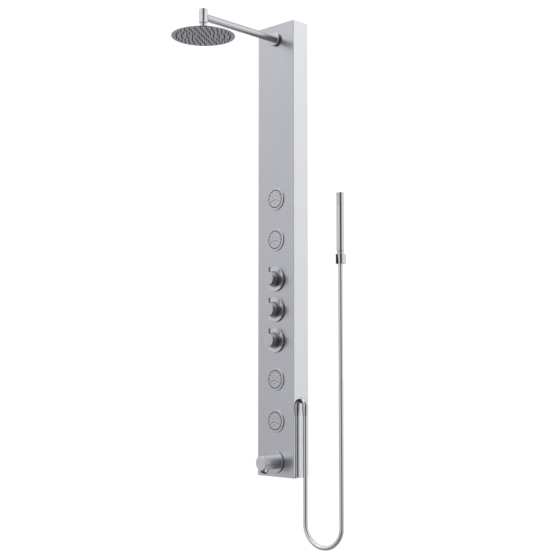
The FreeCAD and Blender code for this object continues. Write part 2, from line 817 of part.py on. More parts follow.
def outlet_elbow():
    """A quarter bend out of the panel's side, turned down to the hose."""
    bend, reach, outer = dim("outlet_bend"), dim("outlet_reach"), dim("outlet_radius")
    body = new_body("outlet_elbow", (WIDTH / 2 + reach, -dim("outlet_depth"), height("outlet_height")))
    elbow = new_sketch(body, "XY_Plane", -bend)
    draw_circle(elbow, 0, 0, outer)
    curve = body.newObject("PartDesign::Revolution", "outlet_bend")
    curve.Profile = elbow
    pivot = new_sketch(body, "XY_Plane", -bend)
    pivot.addGeometry(Part.LineSegment(Vector(-bend.value, -20, 0), Vector(-bend.value, 20, 0)), False)
    for end, across in ((1, -20), (2, 20)):
        fix_point(pivot, 0, end, -bend, across)
    curve.ReferenceAxis = (pivot, ["Edge1"])
    curve.Angle = 90
    doc.recompute()
    if body.Shape.BoundBox.ZMax < value_of(height("outlet_height")):
        curve.Reversed = True
        doc.recompute()
    stem = new_sketch(body, "YZ_Plane", -bend)
    draw_circle(stem, 0, 0, outer)
    pad(body, stem, reach - bend).Reversed = True
    shank = new_sketch(body, "YZ_Plane", -reach)
    draw_circle(shank, 0, 0, dim("shank_radius"))
    pad(body, shank, dim("shank_depth")).Reversed = True
    drill(body, 5, dim("shank_depth") + reach - bend, (-bend, 0, 0), Rotation(Vector(0, 1, 0), -90))
    return keep(body)


def hose_route():
    """The hose hangs straight from the side outlet, turns through a half circle and rises
    straight to the handset."""
    start = point(WIDTH / 2 + dim("outlet_reach"), -dim("outlet_depth"), dim("hose_start_height"))
    end = point(dim("handset_offset"), -dim("handset_depth"), dim("hose_end_height"))
    across = Vector(end.x - start.x, end.y - start.y, 0)
    radius = across.Length / 2
    level = point(0, 0, dim("hose_loop_height")).z
    corners = []
    for turn in (22.5, 67.5, 112.5, 157.5):
        angle = math.radians(turn)
        reach = radius / math.cos(math.radians(22.5))
        share = 0.5 - reach * math.cos(angle) / across.Length
        flat = start + across * share
        corners.append(Vector(flat.x, flat.y, level - reach * math.sin(angle)))
    return [start] + corners + [end]


def hose_and_nuts():
    tube("shower_hose", hose_route(), DIMENSIONS["hose_radius"])
    top = dim("outlet_height") - dim("outlet_bend") - dim("hose_start_height")
    keep(turned("hose_nut_lower", [
        (0, 0), (8, 0), (8.4, 1), (10.2, top - 9), (10.2, top), (0, top),
    ], (WIDTH / 2 + dim("outlet_reach"), -dim("outlet_depth"), height("hose_start_height"))))
    rise = dim("handset_foot_height") - dim("hose_end_height")
    keep(turned("hose_nut_upper", [
        (0, 0), (8, 0), (10.4, rise - 0.6), (9.8, rise), (0, rise),
    ], (dim("handset_offset"), -dim("handset_depth"), height("hose_end_height"))))


def handset():
    """A slim stick with its spray face let into the side near the top."""
    foot, radius = dim("handset_foot_height"), dim("handset_radius")
    rise = dim("handset_top_height") - foot
    body = turned("handset_body", [
        (0, 0), (10.6, 0), (radius, 10), (radius, rise - 0.8), (radius - 0.8, rise), (0, rise),
    ], (dim("handset_offset"), -dim("handset_depth"), height("handset_foot_height")))
    recess = new_sketch(body, "XZ_Plane", radius - 4)
    low, high = rise - 42, rise - 4
    draw_box(recess, -5.6, low, 5.6, high)
    pocket(body, recess, 8, reverse=True)
    keep(body)
    face = new_body("handset_spray_face",
                    (dim("handset_offset"), -dim("handset_depth"), height("handset_foot_height")))
    plate = new_sketch(face, "XZ_Plane", radius - 4)
    draw_box(plate, -5.5, low + 0.1, 5.5, high - 0.1)
    pad(face, plate, 2.9)
    nubs = new_sketch(face, "XZ_Plane", radius - 1.2)
    for row in range(8):
        for column in (-1, 0, 1):
            draw_circle(nubs, column * 3.4, low + 3 + row * 4.57, 0.8)
    pad(face, nubs, 0.8)
    keep(face)


def wall_clip():
    """A C-shaped holder screwed to the wall, with a plastic liner for the hose's upper nut."""
    at = (dim("handset_offset"), 0, height("clip_height"))
    depth, radius, length = dim("handset_depth"), dim("clip_radius"), dim("clip_length")
    mouth = dim("clip_mouth")
    body = new_body("clip_body", at)
    ring = new_sketch(body, "XY_Plane")
    draw_circle(ring, 0, -depth, radius)
    pad(body, ring, length)
    foot = new_sketch(body, "XY_Plane")
    draw_box(foot, -7, -depth, 7, 0)
    pad(body, foot, length)
    bore = new_sketch(body, "XY_Plane")
    draw_circle(bore, 0, -depth, dim("clip_bore"))
    pocket(body, bore, both_ways=True)
    slot = new_sketch(body, "XY_Plane")
    draw_box(slot, -mouth / 2, -depth - radius - 5, mouth / 2, -depth)
    pocket(body, slot, both_ways=True)
    stud_hole = new_sketch(body, "XZ_Plane")
    draw_circle(stud_hole, 0, length / 2, 2.5)
    pocket(body, stud_hole, 5.5, reverse=True)
    keep(body)
    outer = dim("clip_bore") - PLAY
    liner = turned("clip_liner", [
        (8.5, 0), (outer, 0), (outer, length), (10.7, length),
    ], (dim("handset_offset"), -depth, height("clip_height")))
    entry, half = new_sketch(liner, "XY_Plane"), mouth / 2 - 0.7
    draw_box(entry, -half, -radius - 5, half, 0)
    pocket(liner, entry, both_ways=True)
    keep(liner)


# ---------------------------------------------------------------- assembly, checks and export


def check_objects():
    for item in doc.Objects:
        if "Invalid" in item.State or "Error" in item.State:
            raise RuntimeError(f"{item.Label} failed: {item.State}")
    for item in kept:
        if item.Shape.isNull() or not item.Shape.isValid() or not item.Shape.Solids:
            raise RuntimeError(f"{item.Label} has no valid solid")


panel_and_fixings()
arm_pieces()
ball_joint()
rain_head()
body_jets()
valves()
pipes()
lock_nuts()
spout()
outlet_elbow()
hose_and_nuts()
handset()
wall_clip()
doc.recompute()
check_objects()

os.makedirs("parts", exist_ok=True)
for item in kept:
    item.Shape.exportStep(f"parts/{item.Label}.step")
print(f"{len(kept)} sub-parts written")
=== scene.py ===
"""Looks of the rainfall shower column: detailed pieces, materials, studio and camera."""

import math

import bmesh
import bpy
from mathutils import Matrix, Vector
from mathutils.geometry import tessellate_polygon


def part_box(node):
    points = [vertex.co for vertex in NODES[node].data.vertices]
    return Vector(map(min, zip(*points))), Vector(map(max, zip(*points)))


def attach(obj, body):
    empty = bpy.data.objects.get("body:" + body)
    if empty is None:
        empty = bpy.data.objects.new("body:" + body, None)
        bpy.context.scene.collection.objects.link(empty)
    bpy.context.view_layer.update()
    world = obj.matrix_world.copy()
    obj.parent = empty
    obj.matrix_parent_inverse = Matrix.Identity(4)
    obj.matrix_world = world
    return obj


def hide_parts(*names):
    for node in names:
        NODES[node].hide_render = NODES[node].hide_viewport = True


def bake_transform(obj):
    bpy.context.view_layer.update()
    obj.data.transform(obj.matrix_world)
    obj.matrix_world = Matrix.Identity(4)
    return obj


MM = 0.001
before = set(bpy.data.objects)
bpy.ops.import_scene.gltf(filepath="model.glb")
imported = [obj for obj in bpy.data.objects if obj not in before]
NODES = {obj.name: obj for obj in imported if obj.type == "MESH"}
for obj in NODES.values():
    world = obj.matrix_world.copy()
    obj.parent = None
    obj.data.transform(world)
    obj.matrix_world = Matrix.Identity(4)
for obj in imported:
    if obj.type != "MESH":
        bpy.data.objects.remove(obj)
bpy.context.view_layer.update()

JETS = ("top", "high", "low", "bottom")
VALVES = ("top", "middle", "bottom")


def add_object(name, data):
    """A new object in the scene."""
    made = bpy.data.objects.new(name, data)
    bpy.context.scene.collection.objects.link(made)
    return made


def look_along(thing, direction):
    """Turn a camera or a lamp, which look along their own -Z, upright along a direction."""
    thing.rotation_mode = "QUATERNION"
    thing.rotation_quaternion = direction.to_track_quat("-Z", "Y")


# ---------------------------------------------------------------- camera

CAMERA_AT = Vector((2.43613, -2.57856, -1.01899))
CAMERA_AZIMUTH = math.radians(44.037)
CAMERA_PITCH = math.radians(4.706)
SENSOR_WIDTH = 36  # mm
LENS = 69.10  # mm


def make_camera():
    data = bpy.data.cameras.new("camera")
    data.sensor_width = SENSOR_WIDTH
    data.lens = LENS
    camera = add_object("camera", data)
    camera.location = CAMERA_AT
    look_along(camera, Vector((
        -math.sin(CAMERA_AZIMUTH) * math.cos(CAMERA_PITCH),
        math.cos(CAMERA_AZIMUTH) * math.cos(CAMERA_PITCH),
        math.sin(CAMERA_PITCH),
    )))
    bpy.context.scene.camera = camera


# ---------------------------------------------------------------- mesh tools
#
# An outline is a list of corners (radius, along) or (radius, along, rounding), in mm, that is
# turned about +Z.

TINY = 1e-9
STRAIGHT = math.radians(179)  # corners flatter than this are not rounded
EDGE_SHARE = 0.49  # the most of an edge that one rounding takes
CORNER_STEPS = 5
SEGMENTS = 96  # around a turned piece
FINE_SEGMENTS = 128
SHARP_ANGLE = math.radians(35)
WELD_GAP = 0.00002

UP = Matrix.Identity(4)
OUT = Matrix(((1, 0, 0), (0, 0, -1), (0, 1, 0))).to_4x4()  # local +Z to -Y, out of the panel


def at(x, y, z, turn=UP):
    """A placement from millimetres in the row frame."""
    return Matrix.Translation(Vector((x, y, z)) * MM) @ turn


def arc_corner(before, corner, after, radius):
    """Points of a rounded corner of an outline."""
    back, ahead = before - corner, after - corner
    if back.length < TINY or ahead.length < TINY:
        return [corner]
    angle = back.angle(ahead)
    if angle > STRAIGHT:
        return [corner]
    shorter = min(back.length * EDGE_SHARE, ahead.length * EDGE_SHARE)
    setback = min(radius / math.tan(angle / 2), shorter)
    radius = setback * math.tan(angle / 2)
    back.normalize()
    ahead.normalize()
    start, end = corner + back * setback, corner + ahead * setback
    centre = corner + (back + ahead).normalized() * (radius / math.sin(angle / 2))
    points = []
    for step in range(CORNER_STEPS + 1):
        chord = start.lerp(end, step / CORNER_STEPS) - centre
        points.append(centre + chord.normalized() * radius)
    return points


def rounded_outline(corners, closed):
    """An outline's points in metres, with the corners rounded that ask for it."""
    flat = [Vector((corner[0], corner[1])) for corner in corners]
    points = []
    last = len(corners) - 1
    for index, corner in enumerate(corners):
        end_point = not closed and index in (0, last)
        if len(corner) == 2 or end_point:
            points.append(flat[index])
            continue
        after = flat[0] if index == last else flat[index + 1]
        points += arc_corner(flat[index - 1], flat[index], after, corner[2])
    return [point * MM for point in points]


def bridge(low, high):
    """Faces between two rings of vertex numbers. A ring of one is a point on the axis."""
    count = max(len(low), len(high))
    if count == 1:
        return []
    faces = []
    for step in range(count):
        after = (step + 1) % count
        if len(low) == 1:
            faces.append((low[0], high[after], high[step]))
        elif len(high) == 1:
            faces.append((low[step], low[after], high[0]))
        else:
            faces.append((low[step], low[after], high[after], high[step]))
    return faces


def spin(corners, segments=SEGMENTS, closed=None):
    """Vertices and faces of an outline turned about +Z. It is closed unless it starts and ends
    on the axis."""
    if closed is None:
        closed = corners[0][0] > 0 or corners[-1][0] > 0
    vertices, rings = [], []
    for point in rounded_outline(corners, closed):
        if point.x < TINY:
            rings.append([len(vertices)])
            vertices.append((0, 0, point.y))
            continue
        rings.append(list(range(len(vertices), len(vertices) + segments)))
        for step in range(segments):
            turn = 2 * math.pi * step / segments
            vertices.append((point.x * math.cos(turn), point.x * math.sin(turn), point.y))
    pairs = list(zip(rings, rings[1:])) + ([(rings[-1], rings[0])] if closed else [])
    faces = []
    for low, high in pairs:
        faces += bridge(low, high)
    return vertices, faces


def merge(parts):
    """Several (vertices, faces, matrix) as one list of vertices and faces."""
    vertices, faces = [], []
    for part_vertices, part_faces, matrix in parts:
        start = len(vertices)
        vertices += [matrix @ Vector(vertex) for vertex in part_vertices]
        faces += [tuple(index + start for index in face) for face in part_faces]
    return vertices, faces


def mesh_from(name, vertices, faces, change):
    """A mesh to which one bmesh operation has been applied."""
    mesh = bpy.data.meshes.new(name)
    mesh.from_pydata([tuple(vertex) for vertex in vertices], [], faces)
    work = bmesh.new()
    work.from_mesh(mesh)
    change(work)
    work.to_mesh(mesh)
    work.free()
    return mesh


def join_close(vertices, faces):
    """Weld vertices that lie on each other."""
    mesh = mesh_from("weld", vertices, faces, lambda work: (
        bmesh.ops.remove_doubles(work, verts=work.verts, dist=WELD_GAP)))
    vertices = [vertex.co.copy() for vertex in mesh.vertices]
    faces = [tuple(polygon.vertices) for polygon in mesh.polygons]
    bpy.data.meshes.remove(mesh)
    return vertices, faces


def new_piece(name, vertices, faces, body, nodes, material, weigh=True):
    """A finished mesh piece. It rides on a body and stands for CAD nodes, if any are given."""
    mesh = mesh_from(name, vertices, faces, lambda work: (
        bmesh.ops.recalc_face_normals(work, faces=work.faces)))
    for polygon in mesh.polygons:
        polygon.use_smooth = True
    mesh.set_sharp_from_angle(angle=SHARP_ANGLE)
    mesh.materials.append(material)
    piece = add_object(name, mesh)
    if weigh:
        modifier = piece.modifiers.new("normals", "WEIGHTED_NORMAL")
        modifier.keep_sharp = True
    if body:
        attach(piece, body)
    if nodes:
        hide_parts(*nodes)
    return piece


def lathe(name, corners, place, body, nodes, slot, material=None, segments=SEGMENTS):
    """A turned piece, in its slot's own material unless another is given."""
    vertices, faces = merge([(*spin(corners, segments), place)])
    return new_piece(name, vertices, faces, body, nodes, material or MATERIALS[slot])


def second_finish(piece, material, chosen):
    """Give the chosen faces of a piece another material."""
    piece.data.materials.append(material)
    for polygon in piece.data.polygons:
        if chosen(polygon):
            polygon.material_index = len(piece.data.materials) - 1


# ---------------------------------------------------------------- shader nodes

MIX_SOCKETS = {"FLOAT": (2, 3, 0), "RGBA": (6, 7, 2)}  # first, second and result


def new_material(name, **settings):
    """A material whose shader's sockets are set by name, with _ for a space."""
    material = bpy.data.materials.new(name)
    material.use_nodes = True
    shader = material.node_tree.nodes["Principled BSDF"]
    for socket, value in settings.items():
        shader.inputs[socket.replace("_", " ")].default_value = value
    return material, material.node_tree, shader


def node(tree, kind, **settings):
    """A new node, with its sockets or properties set by name."""
    made = tree.nodes.new(kind)
    for word, value in settings.items():
        if word in made.inputs:
            made.inputs[word].default_value = value
        else:
            setattr(made, word, value)
    return made


def texture_space(tree, scale=(1, 1, 1)):
    """Object coordinates, which are the row frame in metres, stretched by a scale."""
    place = tree.nodes.new("ShaderNodeTexCoord")
    mapping = tree.nodes.new("ShaderNodeMapping")
    mapping.inputs["Scale"].default_value = scale
    tree.links.new(place.outputs["Object"], mapping.inputs["Vector"])
    return mapping.outputs["Vector"]


def noise(tree, space, scale, detail=4, roughness=0.6):
    made = node(tree, "ShaderNodeTexNoise", Scale=scale, Detail=detail, Roughness=roughness)
    tree.links.new(space, made.inputs["Vector"])
    return made.outputs["Fac"]


def streak_noise(tree, grain):
    """Fine streaks, long on the axis where the grain is low."""
    return noise(tree, texture_space(tree, grain), scale=1, detail=5, roughness=0.65)


def cloud_noise(tree, scale):
    """Broad, soft changes."""
    return noise(tree, texture_space(tree), scale, detail=3, roughness=0.5)


def spread(tree, value, low, high, from_low=0.3, from_high=0.7):
    """Map a value, by default the middle of a noise, to a range."""
    made = node(tree, "ShaderNodeMapRange")
    made.inputs["From Min"].default_value = from_low
    made.inputs["From Max"].default_value = from_high
    made.inputs["To Min"].default_value = low
    made.inputs["To Max"].default_value = high
    tree.links.new(value, made.inputs["Value"])
    return made.outputs["Result"]


def along(tree, source, axis):
    """How far a direction points along an axis."""
    made = node(tree, "ShaderNodeVectorMath", operation="DOT_PRODUCT")
    tree.links.new(source, made.inputs[0])
    made.inputs[1].default_value = axis
    return made.outputs["Value"]


def combine(tree, operation, first, second):
    made = node(tree, "ShaderNodeMath", operation=operation)
    tree.links.new(first, made.inputs[0])
    tree.links.new(second, made.inputs[1])
    return made.outputs["Value"]


def mix(tree, share, first, second, data_type="FLOAT"):
    """A mix of two values or colours. A plain number is set on its socket."""
    made = node(tree, "ShaderNodeMix", data_type=data_type)
    tree.links.new(share, made.inputs[0])
    first_socket, second_socket, result = MIX_SOCKETS[data_type]
    for socket, value in ((first_socket, first), (second_socket, second)):
        if isinstance(value, float):
            made.inputs[socket].default_value = value
        else:
            tree.links.new(value, made.inputs[socket])
    return made.outputs[result]


def blend_colours(tree, share, first, second):
    ramp = tree.nodes.new("ShaderNodeValToRGB")
    ramp.color_ramp.elements[0].color = (*first, 1)
    ramp.color_ramp.elements[1].color = (*second, 1)
    tree.links.new(share, ramp.inputs["Fac"])
    return ramp.outputs["Color"]


def set_finish(tree, shader, tone, dark, light, gloss, rough):
    """Colour by one value and roughness by another."""
    tree.links.new(blend_colours(tree, tone, dark, light), shader.inputs["Base Color"])
    tree.links.new(spread(tree, gloss, *rough), shader.inputs["Roughness"])


def bump(tree, shader, height, strength, distance):
    made = node(tree, "ShaderNodeBump", Strength=strength, Distance=distance)
    tree.links.new(height, made.inputs["Height"])
    tree.links.new(made.outputs["Normal"], shader.inputs["Normal"])


# ---------------------------------------------------------------- materials

PANEL_GRAIN = (1400, 1400, 9)  # streaks up the panel
GRAIN = (900, 60, 900)  # streaks out of the panel
STRIP_GRAIN = (900, 900, 60)
WATER_MARKS = (1, 1, 0.35)  # drawn out downwards


def brushed_metal(name, dark, light, rough, grain=GRAIN):
    """Brushed metal: fine streaks along one axis and broad changes of tone, in equal parts."""
    material, tree, shader = new_material(name, Metallic=1.0)
    streaks = streak_noise(tree, grain)
    tone = node(tree, "ShaderNodeMath", operation="MULTIPLY_ADD")
    tree.links.new(cloud_noise(tree, scale=9), tone.inputs[0])
    tone.inputs[1].default_value = 0.5
    tree.links.new(spread(tree, streaks, 0, 0.5), tone.inputs[2])
    set_finish(tree, shader, tone.outputs["Value"], dark, light, streaks, rough)
    bump(tree, shader, streaks, strength=0.12, distance=0.00005)
    return material


def sheet_metal_with_painted_side_light(name, front, side, rough, side_rough, fold_rough, grain):
    """Brushed sheet whose side walls are glossier than its front and have a brighter colour,
    which is painted light from the right, and whose folds are duller."""
    material, tree, shader = new_material(name, Metallic=1.0)
    streaks = streak_noise(tree, grain)
    clouds = cloud_noise(tree, scale=5)
    tone = combine(tree, "ADD", spread(tree, clouds, 0, 0.6), spread(tree, streaks, 0, 0.4))
    normal = tree.nodes.new("ShaderNodeNewGeometry").outputs["Normal"]
    sideways = along(tree, normal, (1, 0, 0))
    forward = along(tree, normal, (0, 1, 0))
    sideways = combine(tree, "MULTIPLY", sideways, sideways)
    forward = combine(tree, "MULTIPLY", forward, forward)
    both = combine(tree, "MULTIPLY", sideways, forward)
    fold = spread(tree, both, 0, 1, from_low=0.0, from_high=0.2)
    # The side walls' brighter colour is painted light from the right.
    colour = mix(tree, sideways, blend_colours(tree, tone, *front),
                 blend_colours(tree, tone, *side), data_type="RGBA")
    tree.links.new(colour, shader.inputs["Base Color"])
    faces = mix(tree, sideways, spread(tree, streaks, *rough),
                spread(tree, streaks, *side_rough))
    tree.links.new(mix(tree, fold, faces, fold_rough), shader.inputs["Roughness"])
    bump(tree, shader, streaks, strength=0.06, distance=0.00005)
    return material


def polished_metal(name, dark, light, rough, scale=40):
    """Plated or polished metal: faint smears in its tone and gloss, and fine water marks."""
    material, tree, shader = new_material(name, Metallic=1.0)
    smears = noise(tree, texture_space(tree), scale, detail=6, roughness=0.6)
    marks = noise(tree, texture_space(tree, WATER_MARKS), scale * 5, detail=4, roughness=0.7)
    set_finish(tree, shader, smears, dark, light, smears, rough)
    bump(tree, shader, marks, strength=0.02, distance=0.00002)
    return material


def moulded(name, dark, light, rough=(0.35, 0.5)):
    """Moulded rubber or plastic: fine pebbled skin and uneven gloss."""
    material, tree, shader = new_material(name)
    clouds = noise(tree, texture_space(tree), scale=60, detail=4, roughness=0.5)
    skin = noise(tree, texture_space(tree), scale=900, detail=2, roughness=0.5)
    set_finish(tree, shader, clouds, dark, light, clouds, rough)
    bump(tree, shader, skin, strength=0.15, distance=0.0001)
    return material


def galvanised(name, dark, light, rough):
    """Zinc spangle: flat crystals of slightly different tone and gloss."""
    material, tree, shader = new_material(name, Metallic=1.0)
    crystals = node(tree, "ShaderNodeTexVoronoi", Scale=90)
    tree.links.new(texture_space(tree), crystals.inputs["Vector"])
    share = node(tree, "ShaderNodeRGBToBW")
    tree.links.new(crystals.outputs["Color"], share.inputs["Color"])
    set_finish(tree, shader, share.outputs["Val"], dark, light, share.outputs["Val"], rough)
    bump(tree, shader, noise(tree, texture_space(tree), scale=300), strength=0.1, distance=0.0001)
    return material


MATERIALS = {
    "panel_steel": sheet_metal_with_painted_side_light(
        "panel_steel", front=((0.600, 0.606, 0.650), (0.636, 0.642, 0.686)),
        # The side colour, brighter than the front, is painted light from the right.
        side=((0.765, 0.775, 0.80), (0.815, 0.825, 0.85)), rough=(0.25, 0.31),
        side_rough=(0.03, 0.06), fold_rough=0.6, grain=PANEL_GRAIN),
    "fitting_steel": brushed_metal(
        "fitting_steel", (0.66, 0.665, 0.70), (0.76, 0.765, 0.80), rough=(0.20, 0.28)),
    "polished_chrome": polished_metal(
        "polished_chrome", (0.71, 0.715, 0.73), (0.78, 0.785, 0.80), rough=(0.04, 0.09)),
    "head_steel": polished_metal(
        "head_steel", (0.50, 0.51, 0.54), (0.58, 0.59, 0.62), rough=(0.12, 0.2), scale=25),
    "grey_silicone": moulded("grey_silicone", (0.042, 0.045, 0.052), (0.066, 0.07, 0.08)),
    "galvanised_steel": galvanised(
        "galvanised_steel", (0.36, 0.37, 0.38), (0.55, 0.56, 0.57), rough=(0.35, 0.55)),
    "brass": polished_metal(
        "brass", (0.52, 0.36, 0.14), (0.70, 0.52, 0.24), rough=(0.22, 0.42), scale=60),
    "copper_pipe": polished_metal(
        "copper_pipe", (0.50, 0.22, 0.12), (0.74, 0.38, 0.22), rough=(0.2, 0.42), scale=35),
    "white_plastic": moulded("white_plastic", (0.62, 0.61, 0.58), (0.74, 0.73, 0.70)),
    "black_rubber": moulded(
        "black_rubber", (0.012, 0.012, 0.012), (0.03, 0.03, 0.03), rough=(0.5, 0.7)),
    "black_plastic": moulded(
        "black_plastic", (0.010, 0.010, 0.011), (0.02, 0.02, 0.022), rough=(0.25, 0.4)),
    "hose_steel": polished_metal(
        "hose_steel", (0.73, 0.74, 0.76), (0.82, 0.83, 0.85), rough=(0.20, 0.28), scale=60),
}
# The face plate's dark colour is a painted reflection of dark surroundings below it.
HEAD_FACE_PAINTED_SHADE = polished_metal(
    "head_face_steel_painted_shade", (0.26, 0.27, 0.31), (0.32, 0.33, 0.38), rough=(0.05, 0.09), scale=25)
FRONT_STEEL = brushed_metal(
    "front_steel", (0.58, 0.585, 0.63), (0.67, 0.675, 0.715), rough=(0.18, 0.24))
# A dark copy of the fittings' steel for side walls, collars, pegs and cut walls: painted shade.
PAINTED_SHADE_STEEL = polished_metal(
    "steel_in_painted_shade", (0.26, 0.265, 0.28), (0.34, 0.345, 0.36), rough=(0.16, 0.22), scale=60)
SOFT_STEEL = brushed_metal(
    "soft_steel", (0.70, 0.705, 0.74), (0.78, 0.785, 0.82), rough=(0.36, 0.44))
ARM_STEEL = brushed_metal(
    "arm_steel", (0.72, 0.725, 0.76), (0.80, 0.805, 0.84), rough=(0.26, 0.32))
# A dark copy of the steel for the grips' side walls: painted shade.
PAINTED_SHADE_GRIP_STEEL = brushed_metal(
    "grip_steel", (0.44, 0.445, 0.47), (0.52, 0.525, 0.55), rough=(0.30, 0.38))
STRIP_STEEL = brushed_metal(
    "strip_steel", (0.66, 0.665, 0.68), (0.76, 0.765, 0.78), rough=(0.3, 0.4),
    grain=STRIP_GRAIN)

NODE_FINISHES = {
    # dark colour here is a painted reflection of dark surroundings below
    "head_face_plate": HEAD_FACE_PAINTED_SHADE,
    "handset_spray_face": STRIP_STEEL,
    "spout_body": SOFT_STEEL,
    "shower_arm": ARM_STEEL,
    "arm_elbow": MATERIALS["hose_steel"],
}


def paint_cad_nodes():
    """Swap each CAD material for the one here of the same name, and then a few by node."""
    for made in NODES.values():
        for place in made.material_slots:
            place.material = MATERIALS[place.material.name.split(".")[0]]
    for name, material in NODE_FINISHES.items():
        NODES[name].material_slots[0].material = material


# ---------------------------------------------------------------- hose

HOSE_DIAMETER = 0.015
HOSE_START = (0.100, -0.034, -1.181)
HOSE_END = (0.240, -0.020, -0.700)
HOSE_ROUTE = (
    HOSE_START,
    (0.1000, -0.0340, -1.49301),
    (0.1000, -0.0340, -1.55114),
    (0.1410, -0.0299, -1.59235),
    (0.1990, -0.0241, -1.59235),
    (0.2400, -0.0200, -1.55114),
    (0.2400, -0.0200, -1.49301),
    HOSE_END,
)
SPLINE_ORDER = 3
SPLINE_STEPS = 48
HOSE_STEP = 0.0007  # between rings of vertices
HOSE_SEGMENTS = 28
SPIRAL_DEPTH = 0.00002
SPIRAL_PITCH = 0.0042
SPIRAL_WIDTH = 0.12  # share of the pitch


def smooth_line(name, route):
    """Points read from the NURBS spline that the route's points control."""
    curve = bpy.data.curves.new(name, "CURVE")
    curve.dimensions = "3D"
    curve.resolution_u = SPLINE_STEPS
    spline = curve.splines.new("NURBS")
    spline.points.add(len(route) - 1)
    for point, place in zip(spline.points, route):
        point.co = (*place, 1)
    spline.order_u = SPLINE_ORDER
    spline.use_endpoint_u = True
    holder = add_object(name, curve)
    bpy.context.view_layer.update()
    mesh = bpy.data.meshes.new_from_object(holder)
    points = [vertex.co.copy() for vertex in mesh.vertices]
    bpy.data.objects.remove(holder)
    bpy.data.curves.remove(curve)
    bpy.data.meshes.remove(mesh)
    return points


def walk(points, step):
    """The same line in even steps."""
    even, left = [points[0]], step
    for start, end in zip(points, points[1:]):
        run = (end - start).length
        while run > left:
            start = start.lerp(end, left / run)
            run = (end - start).length
            even.append(start)
            left = step
        left -= run
    even.append(points[-1])
    return even


def make_hose():
    """A mesh tube along the route, with the very shallow spiral of its metal strip."""
    points = walk(smooth_line("hose_line", HOSE_ROUTE), HOSE_STEP)
    vertices = []
    side = Vector((0, 1, 0))
    travelled = 0.0
    for index, centre in enumerate(points):
        before, after = points[max(index - 1, 0)], points[min(index + 1, len(points) - 1)]
        forward = (after - before).normalized()
        side = (side - forward * side.dot(forward)).normalized()
        other = forward.cross(side)
        travelled += (centre - before).length
        for step in range(HOSE_SEGMENTS):
            turn = 2 * math.pi * step / HOSE_SEGMENTS
            wave = (travelled / SPIRAL_PITCH - step / HOSE_SEGMENTS) % 1
            groove = math.exp(-((wave - 0.5) / SPIRAL_WIDTH) ** 2)
            reach = HOSE_DIAMETER / 2 - SPIRAL_DEPTH * groove
            vertices.append(
                centre + side * (reach * math.cos(turn)) + other * (reach * math.sin(turn)))
    rings = [range(start, start + HOSE_SEGMENTS)
             for start in range(0, len(vertices), HOSE_SEGMENTS)]
    faces = []
    for low, high in zip(rings, rings[1:]):
        faces += bridge(low, high)
    faces += [tuple(reversed(rings[0])), tuple(rings[-1])]
    hose = new_piece("shower_hose_tube", vertices, faces, None, ["shower_hose"],
                     MATERIALS["hose_steel"], weigh=False)
    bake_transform(hose)
    return hose, points


# ---------------------------------------------------------------- shared sizes, in mm

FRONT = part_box("panel_shell")[0].y / MM
WALL_SLOPE = 0.6  # a face that looks out of the panel more than this is no side wall


def middle(name):
    """The centre of a node's box."""
    low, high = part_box(name)
    return (low + high) / (2 * MM)


def foot_and_height(name):
    """The placement of an upright node's lower end, and the node's height."""
    low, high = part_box(name)
    centre = middle(name)
    return at(centre.x, centre.y, low.z / MM), (high.z - low.z) / MM


def on_front(name):
    """The panel's front face at a node's height, with local +Z out of the panel."""
    return at(0, FRONT, middle(name).z, OUT)


def is_wall(face):
    """Whether a face of a round part on the panel looks sideways."""
    return abs(face.normal.y) < WALL_SLOPE


def sphere_edge(radius, rise):
    """The radius of a sphere's section at a rise from its centre."""
    return math.sqrt(radius * radius - rise * rise)


def washer(inner, outer, back, front, rounding):
    """The outline of a flat ring with a rounded outer edge at its front."""
    return [(inner, back), (outer, back), (outer, front, rounding), (inner, front)]


def ring_spots(pitch, rings, start=90):
    """Centres on rings of 6, 12, 18 and so on."""
    spots = []
    for ring in range(1, rings + 1):
        for step in range(6 * ring):
            turn = math.radians(start + 60 * step / ring)
            spots.append((pitch * ring * math.cos(turn), pitch * ring * math.sin(turn)))
    return spots


# ---------------------------------------------------------------- cuts in a flat disc, in mm
#
# A cut is (outline, the outline a bevel further in, depth).

BEVEL = 0.2
HOLE_SEGMENTS = 14
GROOVE_STEPS = 20


def circle_points(centre, radius, count=HOLE_SEGMENTS):
    turns = [2 * math.pi * step / count for step in range(count)]
    return [Vector((centre[0] + radius * math.cos(turn), centre[1] + radius * math.sin(turn)))
            for turn in turns]


def hole_cut(centre, radius, depth):
    return circle_points(centre, radius + BEVEL), circle_points(centre, radius), depth


def groove_cut(rise, sweep, radius, width, depth):
    """An arc-shaped groove with its crest up, at a rise from the disc's centre."""
    outlines = []
    for shrink in (0.0, BEVEL):
        wide = width / 2 - shrink
        points = []
        for edge, turns in ((radius + wide, 1), (radius - wide, -1)):
            for step in range(GROOVE_STEPS + 1):
                turn = sweep * (0.5 - step / GROOVE_STEPS) * turns
                points.append(
                    Vector((edge * math.sin(turn), edge * math.cos(turn) + rise - radius)))
        outlines.append(points)
    return *outlines, depth


def pierced_disc(radius, level, cuts):
    """A flat disc with cuts let into it, as vertices in metres and faces."""
    outlines = [circle_points((0, 0), radius, SEGMENTS)] + [cut[0] for cut in cuts]
    vertices = [Vector((p.x, p.y, level)) * MM for outline in outlines for p in outline]
    rings = [[p.to_3d() for p in outline] for outline in outlines]
    faces = [tuple(triangle) for triangle in tessellate_polygon(rings)]
    first = SEGMENTS
    for outer, inner, depth in cuts:
        size = len(outer)
        loops = [list(range(first, first + size))]
        for drop in (BEVEL, depth):
            loops.append(list(range(len(vertices), len(vertices) + size)))
            vertices += [Vector((p.x, p.y, level - drop)) * MM for p in inner]
        for low, high in zip(loops, loops[1:]):
            faces += bridge(low, high)
        faces.append(tuple(loops[-1]))
        first += size
    return vertices, faces


# ---------------------------------------------------------------- body jets

